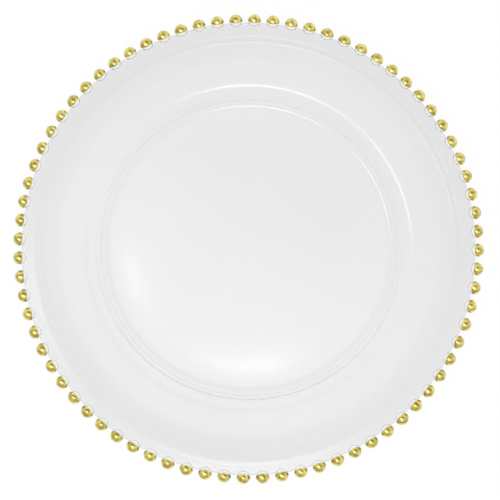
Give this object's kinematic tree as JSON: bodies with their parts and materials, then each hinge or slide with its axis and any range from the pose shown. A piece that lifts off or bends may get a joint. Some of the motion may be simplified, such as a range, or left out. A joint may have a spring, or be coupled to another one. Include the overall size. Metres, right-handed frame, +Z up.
{
  "type": "charger plate",
  "caption": "Round clear charger plate with a shallow well, a stepped rim, a foot ring underneath and small gold-capped clear beads set round its edge.",
  "frame": {"origin": "on the plate's axis, at the level of the foot ring's sole, where the plate meets the table", "axes": "+Z up along the plate's axis, +X from the axis through the first bead, +Y away from the viewer of the picture"},
  "size_m": [0.33, 0.33, 0.0242],
  "materials": {
    "clear_sheet": "polished",
    "clear_bead": "polished",
    "gold": "polished"
  },
  "bodies": {
    "root": {"clear_plate": "clear_sheet", "rim_beads": "clear_bead", "gold_caps": "gold"}
  },
  "joints": []
}
